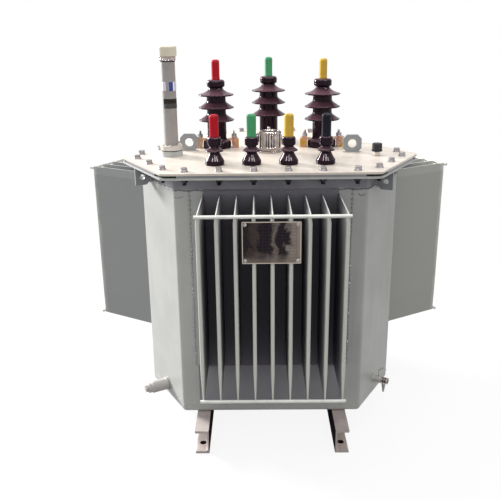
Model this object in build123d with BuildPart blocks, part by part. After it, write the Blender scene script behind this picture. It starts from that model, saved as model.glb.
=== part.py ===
from build123d import *
import os
from math import cos, radians, sin, sqrt, tan

# Three-phase oil-immersed transformer in a six-sided tank, in millimetres.
# Three long walls are corrugated into cooling fins and three short walls are plain.
# The origin is on the floor under the middle of the tank, +Z is up, and the wall
# with the nameplate faces -Y.

os.makedirs("parts", exist_ok=True)

# Tank plan
short_wall = 260.0
corner_bend = 14.0
floor_bend = 13.0
wall_plate = 4.0
wall_turn = 60.0

# Tank heights
tank_height = 782.5
pan_depth = 28.0
pan_plate = 5.0

# Corrugated fins
fin_count = 9
fin_pitch = 50.0
fin_width = 11.0
fin_sheet = 1.5
fin_reach_front = 224.0
fin_reach_sides = 286.0
fin_foot_taper = 88.0
fin_head_taper = 27.0
fin_foot = 168.0
fin_head = 54.5
fin_gap_shut = 0.3
panel_margin = 40.0

# Plain corner plates and the band under each corrugated wall
plate_return = 44.0
band_lap = 8.0
band_setback = 1.5

# Round bars welded across the fin tips
tie_bar = 10.0
tie_bar_overhang = 3.0
tie_bar_inset = 5.0

# Angle-section rim, gasket and cover
rim_reach = 53.0
rim_plate = 6.0
rim_skirt = 38.0
rim_corner = 22.0
gasket_thickness = 7.0
gasket_inset = 2.0
stop_width = 6.0
stop_gap = 0.5
stop_end = 45.0
cover_plate_thickness = 6.0

# Channel feet
channel_height = 80.0
channel_width = 43.0
channel_web = 5.0
channel_flange = 8.0
channel_root = 7.0
channel_toe = 3.5
channel_gauge = 395.0
channel_length = 856.0
foot_hole = 20.0
foot_hole_inset = 47.0
foot_hole_from_web = 22.5

# High-voltage bushings
hv_centre_x = 3.5
hv_half_spacing = 178.0
hv_front_row = 65.0
hv_back_row = 200.0
hv_core_r = 32.0
hv_ring_r = 47.5
hv_ring_height = 26.0
hv_ring_round = 5.0
hv_shed_r = 59.5
hv_shed_edge = 1.2
hv_shed_first = 90.0
hv_shed_pitch = 41.5
hv_shed_count = 3
hv_shed_rise = 19.0
hv_shed_lip = 6.0
hv_neck_r = 23.0
hv_neck_height = 2.0
hv_knob_r = 30.0
hv_knob_height = 26.5
hv_knob_round = 8.0
hv_sleeve_r = 13.9
hv_sleeve_length = 64.0

# Bent claws that hold each high-voltage bushing down
claw_width = 30.0
claw_plate = 4.5
claw_reach = 73.5
claw_bite = 11.0
claw_bend = 5.0
claw_crown = 6.0
claw_drop = 9.0
claw_side = 3.0
claw_foot = 21.0
claw_gap = 1.5

# Low-voltage bushings
lv_count = 4
lv_pitch = 111.0
lv_row = -235.0
lv_base_r = 29.0
lv_base_height = 14.0
lv_cone_r = 23.2
lv_cone_height = 23.0
lv_throat_r = 17.0
lv_throat_height = 34.0
lv_waist_r = 14.5
lv_bell_height = 38.0
lv_shed_r = 27.3
lv_shed_rise = 12.0
lv_shed_lip = 3.0
lv_shed_edge = 2.5
lv_neck_height = 4.0
lv_collar_r = 20.5
lv_collar_height = 26.0
lv_collar_round = 3.0
lv_sleeve_r = 14.6
lv_sleeve_length = 67.0
sleeve_round = 5.0

# Pressure relief valve
relief_x = 4.0
relief_y = -27.0
relief_r = 35.2
relief_base_r = 37.5
relief_base = 6.0
relief_groove = 3.0
relief_groove_depth = 3.0
relief_height = 69.5
relief_cap_r = 37.2
relief_cap = 10.0
relief_cap_lip = 4.0
relief_recess_r = 29.0
relief_recess = 3.0
relief_band = 1.5
relief_band_low = 12.0
relief_band_height = 6.0

# Oil level gauge
gauge_x = -314.0
gauge_y = -77.0
gauge_flange_r = 35.0
gauge_seat = 17.0
gauge_gasket = 3.0
gauge_gasket_inset = 1.0
gauge_flange = 14.0
gauge_tube_r = 22.3
gauge_tube_height = 263.0
gauge_collar = 12.0
gauge_collar_r = 24.5
gauge_cap_r = 29.0
gauge_cap_height = 31.0
gauge_window_low = 169.0
gauge_window_height = 30.0
gauge_window_width = 43.0
gauge_window_plate = 2.0

# Lifting lugs on the cover
cover_lug_width = 60.0
cover_lug_height = 57.0
cover_lug_plate = 10.0
cover_lug_chamfer = 13.0
cover_lug_hole = 28.0
cover_lug_hole_height = 28.5
cover_lug_left = (-264.5, 6.0)
cover_lug_right = (270.0, -49.5)

# Lifting lugs on the tank, one beside each plain wall's third corner
tank_lug_reach = 50.0
tank_lug_height = 56.0
tank_lug_plate = 8.0
tank_lug_hole = 18.0
tank_lug_hole_reach = 28.0
tank_lug_hole_drop = 31.0
tank_lug_offset = 55.0
tank_lug_chamfer = 14.0

# Thermometer pocket
pocket_x = 340.0
pocket_y = -115.0
pocket_r = 10.6
pocket_height = 14.5
pocket_cap_r = 15.5
pocket_cap_height = 25.0
pocket_cap_flare = 1.5
pocket_cap_skirt = 3.0

# Nameplate and the plate behind it
nameplate_width = 158.0
nameplate_height = 117.0
nameplate_plate = 1.5
nameplate_backing = 2.0
nameplate_border = 5.0
nameplate_drop = 19.0
nameplate_shift = -3.0

# Drain stub on the left plain wall and sampling valve on the right one
drain_height = 44.0
drain_boss_r = 24.0
drain_boss = 3.0
drain_gap_r = 18.0
drain_gap = 2.0
drain_flange_r = 22.5
drain_flange = 3.0
drain_pipe_r = 20.0
drain_pipe_length = 51.0
drain_plug_r = 16.5
drain_plug_length = 13.0
drain_tip_r = 12.5
drain_tip_length = 9.0
valve_height = 58.0
valve_boss_r = 15.0
valve_boss = 3.0
valve_pipe_r = 12.0
valve_pipe_length = 27.0
valve_nut = 25.0
valve_nut_length = 5.0
valve_nut_gap = 2.5
valve_nut_count = 3
valve_spindle_r = 9.5
spout_top_r = 7.0
spout_tip_r = 2.8
spout_drop = 43.0
lever_width = 5.0
lever_plate = 2.0
lever_rise = 22.0
lever_length = 16.0
lever_slope = 13.0

# Core of three limbs at the corners of a triangle, with a winding round each
limb_circle = 199.0
limb_r = 80.0
yoke_width = 80.0
yoke_depth = 90.0
limb_height = 430.0
winding_r = 165.0
winding_gap = 2.0
winding_end_gap = 20.0
winding_height = limb_height - winding_end_gap

# Heights that follow from the sizes above
floor_z = channel_height
rim_z = floor_z + tank_height
gasket_z = rim_z + rim_plate
cover_z = gasket_z + gasket_thickness
cover_top = cover_z + cover_plate_thickness
pan_top = floor_z + pan_depth
fins_z = floor_z + fin_foot
fins_top = rim_z - fin_head
skirt_z = rim_z - rim_skirt
yoke_z = floor_z + pan_plate
limb_z = yoke_z + yoke_depth

# Plan sizes that follow from the sizes above
fins_half_span = fin_pitch * (fin_count - 1) / 2
panel_half = fins_half_span + panel_margin
long_wall = 2 * (panel_half + plate_return)
long_reach = (long_wall + 2 * short_wall) / (2 * sqrt(3))
short_reach = (2 * long_wall + short_wall) / (2 * sqrt(3))


def finish(part, name):
    """Label a finished piece and write it under its own name."""
    part.label = name
    export_step(part, f"parts/{name}.step")


def wall_plane(bearing, reach, height=0.0):
    """Upright plane on a wall: x runs along the wall, y up, z out of the tank."""
    outward = Vector(sin(radians(bearing)), -cos(radians(bearing)), 0)
    along = Vector(cos(radians(bearing)), sin(radians(bearing)), 0)
    return Plane(origin=outward * reach + Vector(0, 0, height), x_dir=along, z_dir=outward)


def upright_plane(x, y, z):
    """Upright plane across the part through one vertical axis, to draw revolved outlines on."""
    return Plane(origin=(x, y, z), x_dir=(1, 0, 0), z_dir=(0, -1, 0))


def plan_corners(reach):
    """Corners of the tank's plan, moved out by reach from the wall faces."""
    half = long_wall / 2 + reach * tan(radians(wall_turn / 2))
    depth = long_reach + reach
    corners = []
    for bearing in (0, 120, 240):
        turn = radians(bearing)
        for side in (-half, half):
            corners.append((side * cos(turn) + depth * sin(turn), side * sin(turn) - depth * cos(turn)))
    return corners


def plan_outline(reach, corner):
    """Six-sided outline with rounded corners, inside a sketch."""
    with BuildSketch(mode=Mode.PRIVATE) as outline:
        Polygon(*plan_corners(reach), align=None)
        fillet(outline.vertices(), corner)
    return outline.sketch


# Bearings of the outward side of each wall, counted from the nameplate wall
long_walls = {"front": 0, "right": 120, "left": 240}
short_walls = {"right": 60, "back": 180, "left": 300}


def limb_circle_spot(bearing):
    """Where the core limb nearest to one short wall stands, seen from above."""
    return (limb_circle * sin(radians(bearing)), -limb_circle * cos(radians(bearing)))


# Floor: a shallow pan with its rim turned up

with BuildPart() as tank_floor:
    with BuildSketch(Plane.XY.offset(floor_z)):
        add(plan_outline(0, corner_bend))
    extrude(amount=pan_depth)
    fillet(tank_floor.faces().sort_by(Axis.Z)[0].edges(), floor_bend)
    with BuildSketch(Plane.XY.offset(floor_z + pan_plate)):
        add(plan_outline(-pan_plate, corner_bend - pan_plate))
    extrude(amount=pan_depth, mode=Mode.SUBTRACT)
finish(tank_floor.part, "tank_floor")


# Plain corner plates: each covers a short wall and returns onto the two long walls

def corner_path(back):
    """Bent line of one plain plate, seen from above, with the given length of return."""
    reach_in = back * sin(radians(wall_turn))
    reach_along = short_wall / 2 + back * cos(radians(wall_turn))
    return [
        (-reach_along, -reach_in),
        (-short_wall / 2, 0),
        (short_wall / 2, 0),
        (reach_along, -reach_in),
    ]


for side, bearing in short_walls.items():
    spans = (
        (pan_top, fins_z - pan_top, plate_return + band_lap),
        (fins_z, skirt_z - fins_z, plate_return),
    )
    with BuildPart() as corner_plate:
        for foot, rise, back in spans:
            wall = wall_plane(bearing, short_reach, foot)
            plan = Plane(origin=wall.origin, x_dir=-wall.x_dir, z_dir=(0, 0, 1))
            with BuildSketch(plan):
                with BuildLine():
                    FilletPolyline(*corner_path(back), radius=corner_bend)
                    offset(amount=wall_plate, side=Side.RIGHT)
                make_face()
            extrude(amount=rise)
    finish(corner_plate.part, f"corner_plate_{side}")


# Bands that close the long walls under the corrugated panels

band_half = panel_half - band_lap
with BuildPart() as lower_bands:
    for bearing in long_walls.values():
        wall = wall_plane(bearing, long_reach - band_setback, (pan_top + fins_z) / 2)
        with BuildSketch(wall):
            Rectangle(2 * band_half, fins_z - pan_top)
        extrude(amount=-wall_plate + band_setback)
finish(lower_bands.part, "lower_bands")


# Core and windings: they stand on the tank's floor, one limb towards each plain wall

with BuildPart() as core:
    for foot in (yoke_z, limb_z + limb_height):
        with BuildSketch(Plane.XY.offset(foot)):
            with BuildLine(mode=Mode.PRIVATE) as limb_lines:
                Polyline(*[limb_circle_spot(bearing) for bearing in short_walls.values()], close=True)
            triangle = make_face(limb_lines.edges(), mode=Mode.PRIVATE)
            add(offset(triangle, amount=yoke_width / 2, mode=Mode.PRIVATE))
            add(offset(triangle, amount=-yoke_width / 2, mode=Mode.PRIVATE), mode=Mode.SUBTRACT)
            with Locations(*[limb_circle_spot(bearing) for bearing in short_walls.values()]):
                Circle(limb_r)
        extrude(amount=yoke_depth)
    with BuildSketch(Plane.XY.offset(limb_z)):
        with Locations(*[limb_circle_spot(bearing) for bearing in short_walls.values()]):
            Circle(limb_r)
    extrude(amount=limb_height)
finish(core.part, "core")

with BuildPart() as windings:
    with BuildSketch(Plane.XY.offset(limb_z)):
        with Locations(*[limb_circle_spot(bearing) for bearing in short_walls.values()]):
            Circle(winding_r)
            Circle(limb_r + winding_gap, mode=Mode.SUBTRACT)
    extrude(amount=winding_height)
finish(windings.part, "windings")


# Corrugated walls: sheet folded into hollow fins, their ends pressed flat and welded

def fin_levels(sheet):
    """Heights and widths of one fin, or of the oil space inside it, from foot to head."""
    seam = 2 * fin_sheet
    inset = (2 * sheet + fin_gap_shut - seam) / (fin_width - seam) if sheet else 0
    low = fin_foot_taper * inset
    high = fin_head_taper * inset
    end_width = fin_gap_shut if sheet else seam
    return [
        (fins_z + low, end_width),
        (fins_z + fin_foot_taper, fin_width - 2 * sheet),
        (fins_top - fin_head_taper, fin_width - 2 * sheet),
        (fins_top - high, end_width),
    ]


def fin_body(reach, sheet):
    """One fin on the nameplate wall's middle, lofted through its four levels."""
    with BuildPart(mode=Mode.PRIVATE) as body:
        for height, width in fin_levels(sheet):
            level = Plane(origin=(0, -long_reach, height), x_dir=(0, -1, 0), z_dir=(0, 0, 1))
            tip = reach - sheet
            with BuildSketch(level):
                with BuildLine():
                    Polyline(
                        (tip - width / 2, -width / 2),
                        (-fin_sheet, -width / 2),
                        (-fin_sheet, width / 2),
                        (tip - width / 2, width / 2),
                    )
                    ThreePointArc((tip - width / 2, width / 2), (tip, 0), (tip - width / 2, -width / 2))
                make_face()
        loft(ruled=True)
    return body.part


for side, bearing in long_walls.items():
    reach = fin_reach_front if side == "front" else fin_reach_sides
    places = [(fin_pitch * step - fins_half_span, 0) for step in range(fin_count)]
    with BuildPart(mode=Mode.PRIVATE) as front_panel:
        with BuildSketch(wall_plane(0, long_reach, (fins_z + skirt_z) / 2)):
            Rectangle(2 * panel_half, skirt_z - fins_z)
        extrude(amount=-fin_sheet)
        with Locations(*places):
            add(fin_body(reach, 0))
        with Locations(*places):
            add(fin_body(reach, fin_sheet), mode=Mode.SUBTRACT)
    with BuildPart() as fin_panel:
        add(front_panel.part, rotation=(0, 0, bearing))
    finish(fin_panel.part, f"fin_panel_{side}")


# Round bars welded across the fin tips near both ends of the fins

for side, bearing in long_walls.items():
    reach = fin_reach_front if side == "front" else fin_reach_sides
    bar_length = 2 * fins_half_span + fin_width + 2 * tie_bar_overhang
    with BuildPart() as fin_bars:
        for height in (fins_z + tie_bar_inset, fins_top - tie_bar_inset):
            wall = wall_plane(bearing, long_reach + reach + tie_bar / 2, height)
            start = Plane(origin=wall.origin, x_dir=wall.y_dir, z_dir=wall.x_dir)
            with BuildSketch(start):
                Circle(tie_bar / 2)
            extrude(amount=bar_length / 2, both=True)
    finish(fin_bars.part, f"fin_bars_{side}")


# Rim: angle section all round, with the ledge that the cover bolts to

with BuildPart() as tank_rim:
    with BuildSketch(Plane.XY.offset(rim_z)):
        add(plan_outline(rim_reach, rim_corner))
        add(plan_outline(-wall_plate, corner_bend - wall_plate), mode=Mode.SUBTRACT)
    extrude(amount=rim_plate)
    with BuildSketch(Plane.XY.offset(skirt_z)):
        add(plan_outline(0, corner_bend))
        add(plan_outline(-wall_plate, corner_bend - wall_plate), mode=Mode.SUBTRACT)
    extrude(amount=rim_skirt)
finish(tank_rim.part, "tank_rim")


# Gasket between the rim and the cover, and the strips that limit how far it is squeezed

gasket_reach = rim_reach - stop_width - stop_gap
with BuildPart() as cover_gasket:
    with BuildSketch(Plane.XY.offset(gasket_z)):
        add(plan_outline(gasket_reach, rim_corner - stop_width))
        add(plan_outline(gasket_inset, corner_bend), mode=Mode.SUBTRACT)
    extrude(amount=gasket_thickness)
finish(cover_gasket.part, "cover_gasket")

rim_growth = 2 * rim_reach * tan(radians(wall_turn / 2))
with BuildPart() as gasket_stops:
    for bearings, reach, wall_length in (
        (long_walls.values(), long_reach, long_wall),
        (short_walls.values(), short_reach, short_wall),
    ):
        for bearing in bearings:
            wall = wall_plane(bearing, reach + rim_reach, gasket_z + gasket_thickness / 2)
            with BuildSketch(wall):
                Rectangle(wall_length + rim_growth - 2 * stop_end, gasket_thickness)
            extrude(amount=-stop_width)
finish(gasket_stops.part, "gasket_stops")


# Cover

with BuildPart() as cover:
    with BuildSketch(Plane.XY.offset(cover_z)):
        add(plan_outline(rim_reach, rim_corner))
    extrude(amount=cover_plate_thickness)
finish(cover.part, "cover_plate")


# Channel feet, flanges outward, bolted down through the lower flange

foot_hole_row = channel_length / 2 - foot_hole_inset
for side, outward in (("left", -1), ("right", 1)):
    web_face = outward * channel_gauge / 2
    front_end = Plane(origin=(web_face, -channel_length / 2, 0), x_dir=(1, 0, 0), z_dir=(0, -1, 0))
    with BuildPart() as foot_channel:
        with BuildSketch(front_end):
            with BuildLine():
                Polyline(
                    (0, 0),
                    (outward * channel_width, 0),
                    (outward * channel_width, channel_flange),
                    (outward * channel_web, channel_flange),
                    (outward * channel_web, channel_height - channel_flange),
                    (outward * channel_width, channel_height - channel_flange),
                    (outward * channel_width, channel_height),
                    (0, channel_height),
                    close=True,
                )
            make_face()
        extrude(amount=-channel_length)
        # Long edges in three upright rows: outer face of the web, its inner face, the flange toes
        rows = foot_channel.edges().filter_by(Axis.Y).group_by(Axis.X)
        toes = rows[-1] if outward > 0 else rows[0]
        fillet(rows[1], channel_root)
        fillet(toes.sort_by(Axis.Z)[1:-1], channel_toe)
        hole_x = web_face + outward * foot_hole_from_web
        with Locations((hole_x, -foot_hole_row, channel_flange), (hole_x, foot_hole_row, channel_flange)):
            Hole(foot_hole / 2, depth=2 * channel_flange)
    finish(foot_channel.part, f"foot_channel_{side}")


# High-voltage bushings: porcelain with three sheds, sleeve on the terminal, two claws at the foot

hv_spots = {
    "left": (hv_centre_x - hv_half_spacing, hv_front_row, 0),
    "middle": (hv_centre_x, hv_back_row, 90),
    "right": (hv_centre_x + hv_half_spacing, hv_front_row, 0),
}
hv_sheds_top = hv_shed_first + hv_shed_pitch * (hv_shed_count - 1) + hv_shed_lip + hv_shed_rise
hv_knob_foot = hv_sheds_top + hv_neck_height
hv_top = hv_knob_foot + hv_knob_height
claw_top = hv_ring_height + claw_plate

for side, (x, y, turn) in hv_spots.items():
    axis = Axis((x, y, cover_top), (0, 0, 1))
    half = upright_plane(x, y, cover_top)
    with BuildPart() as porcelain:
        with BuildSketch(half) as profile:
            Rectangle(hv_core_r, hv_sheds_top - hv_shed_rise, align=Align.MIN)
            Rectangle(hv_ring_r, hv_ring_height, align=Align.MIN)
            for step in range(hv_shed_count):
                low = hv_shed_first + step * hv_shed_pitch
                root = hv_neck_r if step == hv_shed_count - 1 else hv_core_r
                lip = low + hv_shed_lip
                with BuildLine():
                    Polyline(
                        (0, low),
                        (hv_core_r, low),
                        (hv_shed_r, low + hv_shed_lip / 2),
                        (hv_shed_r, lip),
                        (root, lip + hv_shed_rise),
                        (0, lip + hv_shed_rise),
                        close=True,
                    )
                make_face()
            Rectangle(hv_neck_r, hv_knob_foot, align=Align.MIN)
            with Locations((0, hv_knob_foot)):
                Rectangle(hv_knob_r, hv_knob_height, align=Align.MIN)
            # Corners by radius, from the widest in: shed rims, ring, core, knob
            corners = profile.vertices().group_by(Axis.X)[::-1]
            fillet(corners[0], hv_shed_edge)
            fillet(corners[1].sort_by(Axis.Y)[-1], hv_ring_round)
            fillet(corners[3], hv_knob_round)
        revolve(axis=axis)
    finish(porcelain.part, f"hv_porcelain_{side}")

    with BuildPart() as sleeve:
        with BuildSketch(Plane.XY.offset(cover_top + hv_top)):
            with Locations((x, y)):
                Circle(hv_sleeve_r)
        extrude(amount=hv_sleeve_length)
        fillet(sleeve.faces().sort_by(Axis.Z)[-1].edges(), sleeve_round)
    finish(sleeve.part, f"hv_sleeve_{side}")

    with BuildPart() as claws:
        for facing in (turn, turn + 180):
            out = Vector(cos(radians(facing)), sin(radians(facing)), 0)
            across = Plane(origin=(x, y, cover_top), x_dir=out, z_dir=out.cross(Vector(0, 0, 1)))
            with BuildSketch(across):
                with BuildLine():
                    FilletPolyline(
                        (hv_ring_r - claw_bite, claw_top),
                        (hv_ring_r, claw_top),
                        (hv_ring_r + claw_crown, claw_top + claw_crown),
                        (claw_reach - claw_drop, claw_top + claw_crown),
                        (claw_reach, claw_top + claw_crown - claw_drop),
                        (claw_reach, 0),
                        radius=claw_bend,
                    )
                    offset(amount=claw_plate, side=Side.RIGHT)
                make_face()
            extrude(amount=claw_width / 2, both=True)
            for edge in (-claw_width / 2, claw_width / 2 - claw_side):
                with BuildSketch(across.offset(edge)):
                    Polygon(
                        (hv_ring_r + claw_gap, hv_ring_height),
                        (hv_ring_r + claw_crown, hv_ring_height + claw_crown),
                        (claw_reach - claw_drop, hv_ring_height + claw_crown),
                        (claw_reach - claw_plate / 2, claw_top + claw_crown - claw_drop),
                        (claw_reach - claw_plate / 2, 0),
                        (claw_reach - claw_foot, 0),
                        align=None,
                    )
                extrude(amount=claw_side)
    finish(claws.part, f"hv_claws_{side}")


# Low-voltage bushings: bell-shaped foot, one shed, collar and a sleeve on each terminal

lv_shed_top = lv_bell_height + lv_shed_lip + lv_shed_rise
lv_collar_foot = lv_shed_top + lv_neck_height
lv_top = lv_collar_foot + lv_collar_height
for place in range(lv_count):
    x = lv_pitch * (place - (lv_count - 1) / 2)
    half = upright_plane(x, lv_row, cover_top)
    with BuildPart() as porcelain:
        with BuildSketch(half):
            with BuildLine():
                Polyline(
                    (0, 0),
                    (lv_base_r, 0),
                    (lv_base_r, lv_base_height),
                    (lv_cone_r, lv_cone_height),
                    (lv_throat_r, lv_throat_height),
                    (lv_waist_r, lv_bell_height),
                    (lv_shed_r, lv_bell_height + lv_shed_lip),
                    (lv_shed_r, lv_bell_height + lv_shed_lip + lv_shed_edge),
                    (lv_waist_r, lv_shed_top),
                    (lv_waist_r, lv_collar_foot),
                    (0, lv_collar_foot),
                    close=True,
                )
            make_face()
            with Locations((0, lv_collar_foot)):
                Rectangle(lv_collar_r, lv_collar_height, align=Align.MIN)
        revolve(axis=Axis((x, lv_row, cover_top), (0, 0, 1)))
        collar_edges = porcelain.edges().filter_by(GeomType.CIRCLE).group_by(Axis.Z)[-1]
        fillet(collar_edges, lv_collar_round)
    finish(porcelain.part, f"lv_porcelain_{place + 1}")

    with BuildPart() as sleeve:
        with BuildSketch(Plane.XY.offset(cover_top + lv_top)):
            with Locations((x, lv_row)):
                Circle(lv_sleeve_r)
        extrude(amount=lv_sleeve_length)
        fillet(sleeve.faces().sort_by(Axis.Z)[-1].edges(), sleeve_round)
    finish(sleeve.part, f"lv_sleeve_{place + 1}")


# Pressure relief valve

with BuildPart() as relief:
    with BuildSketch(upright_plane(relief_x, relief_y, cover_top)):
        Rectangle(relief_base_r, relief_base, align=Align.MIN)
        Rectangle(relief_r - relief_groove_depth, relief_base + relief_groove, align=Align.MIN)
        with Locations((0, relief_base + relief_groove)):
            Rectangle(relief_r, relief_height - relief_base - relief_groove, align=Align.MIN)
        with Locations((0, relief_band_low)):
            Rectangle(relief_r + relief_band, relief_band_height, align=Align.MIN)
        with Locations((0, relief_height - relief_cap)):
            Rectangle(relief_cap_r, relief_cap, align=Align.MIN)
        with Locations((0, relief_height - relief_recess)):
            Rectangle(relief_recess_r, relief_recess, align=Align.MIN, mode=Mode.SUBTRACT)
    revolve(axis=Axis((relief_x, relief_y, cover_top), (0, 0, 1)))
    fillet(relief.edges().group_by(Axis.Z)[-1].sort_by(SortBy.RADIUS)[-1], relief_cap_lip)
finish(relief.part, "relief_valve")


# Oil level gauge: seat welded to the cover, gasket, flanged tube, collar, cap and window

gauge_tube_z = cover_top + gauge_seat + gauge_gasket + gauge_flange
gauge_stack = (
    ("gauge_seat", cover_top, gauge_flange_r, gauge_seat),
    ("gauge_gasket", cover_top + gauge_seat, gauge_flange_r - gauge_gasket_inset, gauge_gasket),
    ("gauge_cap", gauge_tube_z + gauge_tube_height + gauge_collar, gauge_cap_r, gauge_cap_height),
)
for name, foot, radius, height in gauge_stack:
    with BuildPart() as disc:
        with BuildSketch(Plane.XY.offset(foot)):
            with Locations((gauge_x, gauge_y)):
                Circle(radius)
        extrude(amount=height)
        if name == "gauge_cap":
            fillet(disc.faces().sort_by(Axis.Z)[-1].edges(), sleeve_round)
    finish(disc.part, name)

with BuildPart() as gauge_tube:
    with BuildSketch(upright_plane(gauge_x, gauge_y, gauge_tube_z)):
        with Locations((0, -gauge_flange)):
            Rectangle(gauge_flange_r, gauge_flange, align=Align.MIN)
        Rectangle(gauge_tube_r, gauge_tube_height, align=Align.MIN)
        with Locations((0, gauge_tube_height)):
            Rectangle(gauge_collar_r, gauge_collar, align=Align.MIN)
    revolve(axis=Axis((gauge_x, gauge_y, cover_top), (0, 0, 1)))
finish(gauge_tube.part, "gauge_tube")

with BuildPart() as gauge_window:
    with BuildSketch(Plane.XY.offset(gauge_tube_z + gauge_window_low)):
        with Locations((gauge_x, gauge_y)):
            Circle(gauge_tube_r + gauge_window_plate)
            Circle(gauge_tube_r, mode=Mode.SUBTRACT)
            with Locations((0, -gauge_tube_r)):
                Rectangle(gauge_window_width, 2 * gauge_tube_r, mode=Mode.INTERSECT)
    extrude(amount=gauge_window_height)
finish(gauge_window.part, "gauge_window")


# Lifting lugs on the cover

with BuildPart() as cover_lugs:
    for x, y in (cover_lug_left, cover_lug_right):
        with BuildSketch(upright_plane(x, y - cover_lug_plate / 2, cover_top)) as lug:
            with Locations((0, cover_lug_height / 2)):
                Rectangle(cover_lug_width, cover_lug_height)
            chamfer(lug.vertices().group_by(Axis.Z)[-1], cover_lug_chamfer)
            with Locations((0, cover_lug_hole_height)):
                Circle(cover_lug_hole / 2, mode=Mode.SUBTRACT)
        extrude(amount=-cover_lug_plate)
finish(cover_lugs.part, "cover_lugs")


# Lifting lugs on the tank, square to each plain wall, up to the underside of the rim

with BuildPart() as tank_lugs:
    for bearing in short_walls.values():
        wall = wall_plane(bearing, short_reach, rim_z)
        spot = wall.origin - wall.x_dir * tank_lug_offset - wall.x_dir * tank_lug_plate / 2
        face = Plane(origin=spot, x_dir=wall.z_dir, z_dir=-wall.x_dir)
        with BuildSketch(face) as lug:
            with BuildLine():
                Polyline(
                    (0, 0),
                    (tank_lug_reach, 0),
                    (tank_lug_reach, -tank_lug_height),
                    (tank_lug_chamfer, -tank_lug_height),
                    (0, -tank_lug_height + tank_lug_chamfer),
                    close=True,
                )
            make_face()
            with Locations((tank_lug_hole_reach, -tank_lug_hole_drop)):
                Circle(tank_lug_hole / 2, mode=Mode.SUBTRACT)
        extrude(amount=-tank_lug_plate)
finish(tank_lugs.part, "tank_lugs")


# Thermometer pocket and its screw cap

with BuildPart() as pocket:
    with BuildSketch(Plane.XY.offset(cover_top)):
        with Locations((pocket_x, pocket_y)):
            Circle(pocket_r)
    extrude(amount=pocket_height)
finish(pocket.part, "thermometer_pocket")

with BuildPart() as pocket_cap:
    with BuildSketch(upright_plane(pocket_x, pocket_y, cover_top + pocket_height)):
        Rectangle(pocket_cap_r, pocket_cap_height, align=Align.MIN)
        Rectangle(pocket_cap_r + pocket_cap_flare, pocket_cap_skirt, align=Align.MIN)
    revolve(axis=Axis((pocket_x, pocket_y, cover_top), (0, 0, 1)))
    fillet(pocket_cap.faces().sort_by(Axis.Z)[-1].edges(), pocket_cap_skirt)
finish(pocket_cap.part, "pocket_cap")


# Nameplate on a backing plate welded to the tips of the middle fins

nameplate_z = fins_top - nameplate_drop - nameplate_height / 2
tips = wall_plane(0, long_reach + fin_reach_front, nameplate_z)
with BuildPart() as backing:
    with BuildSketch(tips):
        with Locations((nameplate_shift, 0)):
            Rectangle(nameplate_width - 2 * nameplate_border, nameplate_height - 2 * nameplate_border)
    extrude(amount=nameplate_backing)
finish(backing.part, "nameplate_backing")

with BuildPart() as nameplate:
    with BuildSketch(tips.offset(nameplate_backing)):
        with Locations((nameplate_shift, 0)):
            RectangleRounded(nameplate_width, nameplate_height, nameplate_border / 2)
    extrude(amount=nameplate_plate)
finish(nameplate.part, "nameplate")


# Drain stub: boss, flanged pipe and plug, square to the left plain wall

drain_axis = wall_plane(short_walls["left"], short_reach, floor_z + drain_height)
with BuildPart() as drain_stub:
    start = 0.0
    for radius, length in (
        (drain_boss_r, drain_boss),
        (drain_gap_r, drain_gap),
        (drain_flange_r, drain_flange),
        (drain_pipe_r, drain_pipe_length),
        (drain_plug_r, drain_plug_length),
        (drain_tip_r, drain_tip_length),
    ):
        with BuildSketch(drain_axis.offset(start)):
            Circle(radius)
        extrude(amount=length)
        start = start + length
finish(drain_stub.part, "drain_stub")


# Sampling valve: boss, pipe, hexagon nuts on a spindle, and a tapered spout

valve_axis = wall_plane(short_walls["right"], short_reach, floor_z + valve_height)
nuts_start = valve_boss + valve_pipe_length
nut_step = valve_nut_length + valve_nut_gap
spindle_length = nut_step * valve_nut_count - valve_nut_gap
with BuildPart() as sample_valve:
    for start, radius, length in (
        (0, valve_boss_r, valve_boss),
        (valve_boss, valve_pipe_r, valve_pipe_length),
        (nuts_start, valve_spindle_r, spindle_length),
    ):
        with BuildSketch(valve_axis.offset(start)):
            Circle(radius)
        extrude(amount=length)
    for step in range(valve_nut_count):
        with BuildSketch(valve_axis.offset(nuts_start + step * nut_step)):
            RegularPolygon(valve_nut / 2, 6)
        extrude(amount=valve_nut_length)
    spout_root = valve_axis.origin + valve_axis.z_dir * (nuts_start + valve_nut_length + valve_nut_gap / 2)
    with BuildSketch(Plane(origin=spout_root, x_dir=(1, 0, 0), z_dir=(0, 0, -1))):
        Circle(spout_top_r)
    spout_tip = spout_root - Vector(0, 0, spout_drop)
    with BuildSketch(Plane(origin=spout_tip, x_dir=(1, 0, 0), z_dir=(0, 0, -1))):
        Circle(spout_tip_r)
    loft()
finish(sample_valve.part, "sample_valve")

lever_start = valve_boss + valve_pipe_length / 2
lever_plane = Plane(
    origin=valve_axis.origin + valve_axis.z_dir * lever_start,
    x_dir=valve_axis.z_dir,
    z_dir=valve_axis.z_dir.cross(Vector(0, 0, 1)),
)
with BuildPart() as valve_lever:
    with BuildSketch(lever_plane):
        with BuildLine():
            Polyline(
                (0, valve_pipe_r),
                (0, valve_pipe_r + lever_rise),
                (lever_length, valve_pipe_r + lever_rise + lever_slope),
            )
            offset(amount=lever_plate, side=Side.RIGHT)
        make_face()
    extrude(amount=lever_width / 2, both=True)
finish(valve_lever.part, "valve_lever")
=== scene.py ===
import math
import random
from functools import partial

import bmesh
import bpy
from mathutils import Matrix, Vector


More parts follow.
